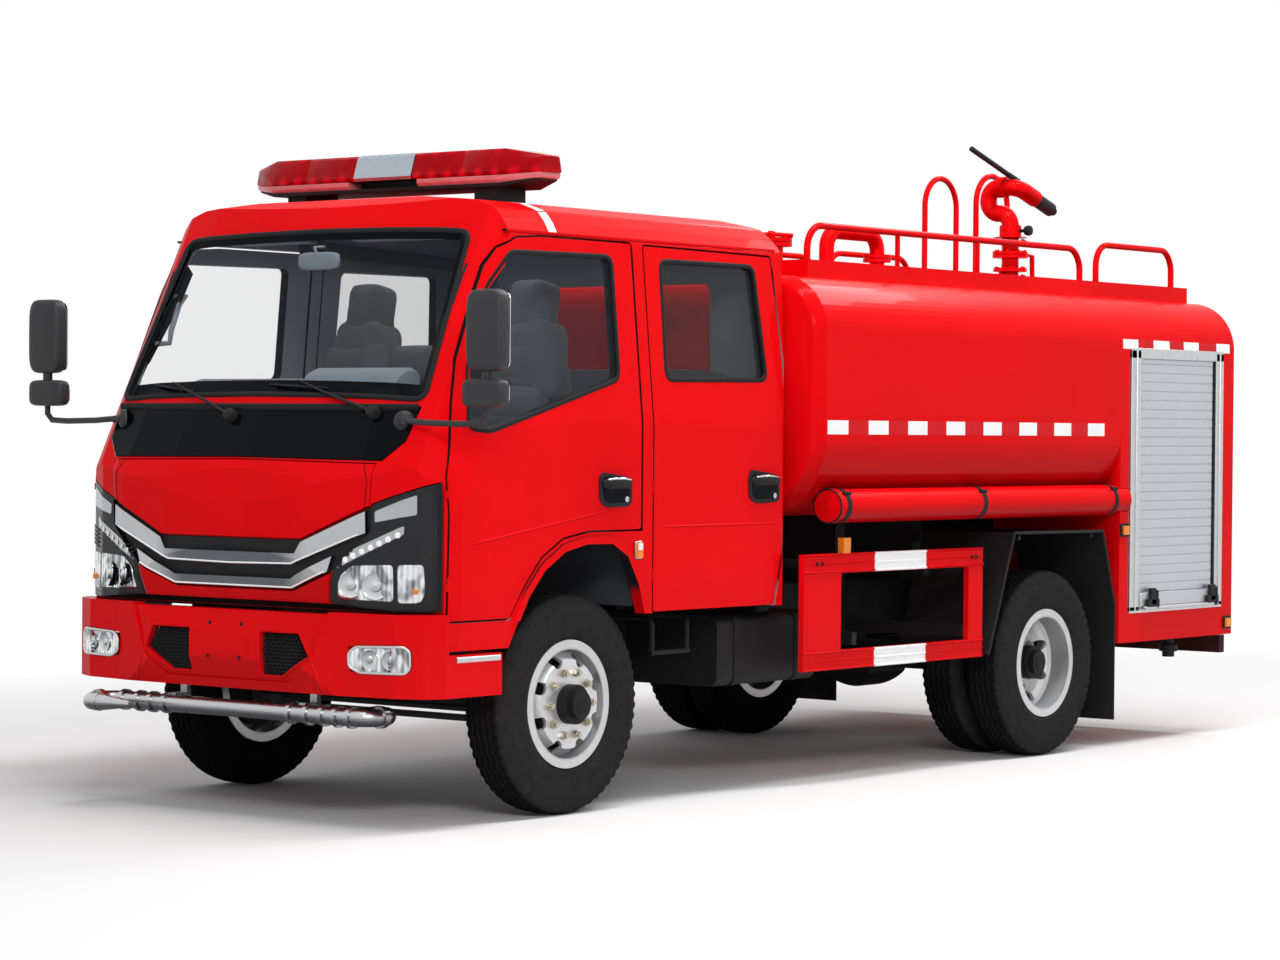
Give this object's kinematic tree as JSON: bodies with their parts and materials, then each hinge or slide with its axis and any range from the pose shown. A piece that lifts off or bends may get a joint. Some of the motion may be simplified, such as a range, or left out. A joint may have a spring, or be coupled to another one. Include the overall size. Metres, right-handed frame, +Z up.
{
  "type": "water tank fire truck",
  "caption": "Crew-cab water tank fire truck with opening doors, steered front wheels, twin rear wheels, pump house with shutters and a deck monitor.",
  "frame": {"origin": "on the ground under the middle of the bounding box", "axes": "+X forward, +Y to the truck's left, +Z up"},
  "size_m": [7.075, 2.864, 3.2857],
  "materials": {
    "red": "gloss red paint",
    "black_steel": "black chassis paint",
    "engine": "dark cast iron",
    "tyre": "rubber",
    "wheel": "silver paint",
    "pipe": "bare steel",
    "trim": "chrome",
    "black_plastic": "black plastic",
    "gloss_black": "gloss black",
    "lamp": "clear cover over a black housing",
    "glass": "clear glass",
    "cabin": "grey plastic",
    "seat": "dark fabric",
    "signal": "red lens",
    "shutter": "satin slats"
  },
  "bodies": {
    "chassis": {"frame": "black_steel", "engine_block": "engine", "front_axle": "black_steel", "rear_axle": "black_steel", "leaf_springs": "black_steel", "side_tanks": "black_steel", "bumper": "red", "spray_pipe": "pipe", "cab_shell": "red", "cab_floor": "cabin", "front_panels": "red", "cowl_panel": "gloss_black", "grille": "black_plastic", "grille_bars": "trim", "headlamps": "lamp", "cab_glass": "glass", "dashboard": "cabin", "steering_wheel": "black_plastic", "seats": "seat", "mirrors": "black_plastic", "light_bar": "signal", "water_tank": "red", "tank_deck": "red", "hand_rails": "red", "deck_pipes": "red", "hose_tubes": "red", "pump_house": "red", "shutters": "shutter", "ladder": "red", "side_guards": "red", "mudguards": "black_plastic", "lamps": "signal"},
    "steering_left": {"knuckle_left": "engine"},
    "steering_right": {"knuckle_right": "engine"},
    "track_rod": {"tie_rod": "engine"},
    "wheel_front_left": {"tyre_front_left": "tyre", "rim_front_left": "wheel", "hub_front_left": "black_steel"},
    "wheel_front_right": {"tyre_front_right": "tyre", "rim_front_right": "wheel", "hub_front_right": "black_steel"},
    "wheels_rear_left": {"tyres_rear_left": "tyre", "rims_rear_left": "wheel", "hub_rear_left": "black_steel"},
    "wheels_rear_right": {"tyres_rear_right": "tyre", "rims_rear_right": "wheel", "hub_rear_right": "black_steel"},
    "front_door_left": {"door_front_left": "red", "glass_front_left": "glass"},
    "front_door_right": {"door_front_right": "red", "glass_front_right": "glass"},
    "rear_door_left": {"door_rear_left": "red", "glass_rear_left": "glass"},
    "rear_door_right": {"door_rear_right": "red", "glass_rear_right": "glass"},
    "tank_lid": {"manhole_lid": "red"},
    "monitor_turn": {"monitor_swivel": "red"},
    "monitor_barrel": {"monitor_head": "red", "monitor_nozzle": "black_plastic"}
  },
  "joints": [
    {"name": "steer_left", "type": "hinge", "parent": "chassis", "child": "steering_left", "pos_m": [2.2975, 0.768, 0.487], "axis": [0, 0, 1], "range_deg": [-35, 35]},
    {"name": "steer_right", "type": "hinge", "parent": "chassis", "child": "steering_right", "pos_m": [2.2975, -0.768, 0.487], "axis": [0, 0, 1], "range_deg": [-35, 35]},
    {"name": "track_rod_turn", "type": "hinge", "parent": "steering_left", "child": "track_rod", "pos_m": [2.1075, 0.768, 0.369], "axis": [0, 0, 1], "range_deg": [-35, 35]},
    {"name": "wheel_front_left_spin", "type": "hinge", "parent": "steering_left", "child": "wheel_front_left", "pos_m": [2.2975, 0.928, 0.487], "axis": [0, 1, 0], "continuous": true},
    {"name": "wheel_front_right_spin", "type": "hinge", "parent": "steering_right", "child": "wheel_front_right", "pos_m": [2.2975, -0.928, 0.487], "axis": [0, 1, 0], "continuous": true},
    {"name": "wheels_rear_left_spin", "type": "hinge", "parent": "chassis", "child": "wheels_rear_left", "pos_m": [-1.5025, 0.919, 0.487], "axis": [0, 1, 0], "continuous": true},
    {"name": "wheels_rear_right_spin", "type": "hinge", "parent": "chassis", "child": "wheels_rear_right", "pos_m": [-1.5025, -0.919, 0.487], "axis": [0, 1, 0], "continuous": true},
    {"name": "front_door_left_swing", "type": "hinge", "parent": "chassis", "child": "front_door_left", "pos_m": [3.16, 1.069, 1.2], "axis": [0, 0, -1], "range_deg": [0, 70]},
    {"name": "rear_door_left_swing", "type": "hinge", "parent": "chassis", "child": "rear_door_left", "pos_m": [1.778, 1.081, 1.2], "axis": [0, 0, -1], "range_deg": [0, 70]},
    {"name": "front_door_right_swing", "type": "hinge", "parent": "chassis", "child": "front_door_right", "pos_m": [3.16, -1.069, 1.2], "axis": [0, 0, 1], "range_deg": [0, 70]},
    {"name": "rear_door_right_swing", "type": "hinge", "parent": "chassis", "child": "rear_door_right", "pos_m": [1.778, -1.081, 1.2], "axis": [0, 0, 1], "range_deg": [0, 70]},
    {"name": "tank_lid_lift", "type": "hinge", "parent": "chassis", "child": "tank_lid", "pos_m": [-0.9625, -0.38, 2.5084], "axis": [0, -1, 0], "range_deg": [0, 100]},
    {"name": "monitor_swivel_turn", "type": "hinge", "parent": "chassis", "child": "monitor_turn", "pos_m": [-2.5955, 0.23, 2.795], "axis": [0, 0, 1], "continuous": true},
    {"name": "monitor_barrel_lift", "type": "hinge", "parent": "monitor_turn", "child": "monitor_barrel", "pos_m": [-2.5955, 0.176, 3.085], "axis": [0, 1, 0], "range_deg": [0, 75]}
  ],
  "couplings": [
    {"joint": "steer_right", "follows": "steer_left", "ratio": 1},
    {"joint": "track_rod_turn", "follows": "steer_left", "ratio": -1}
  ]
}
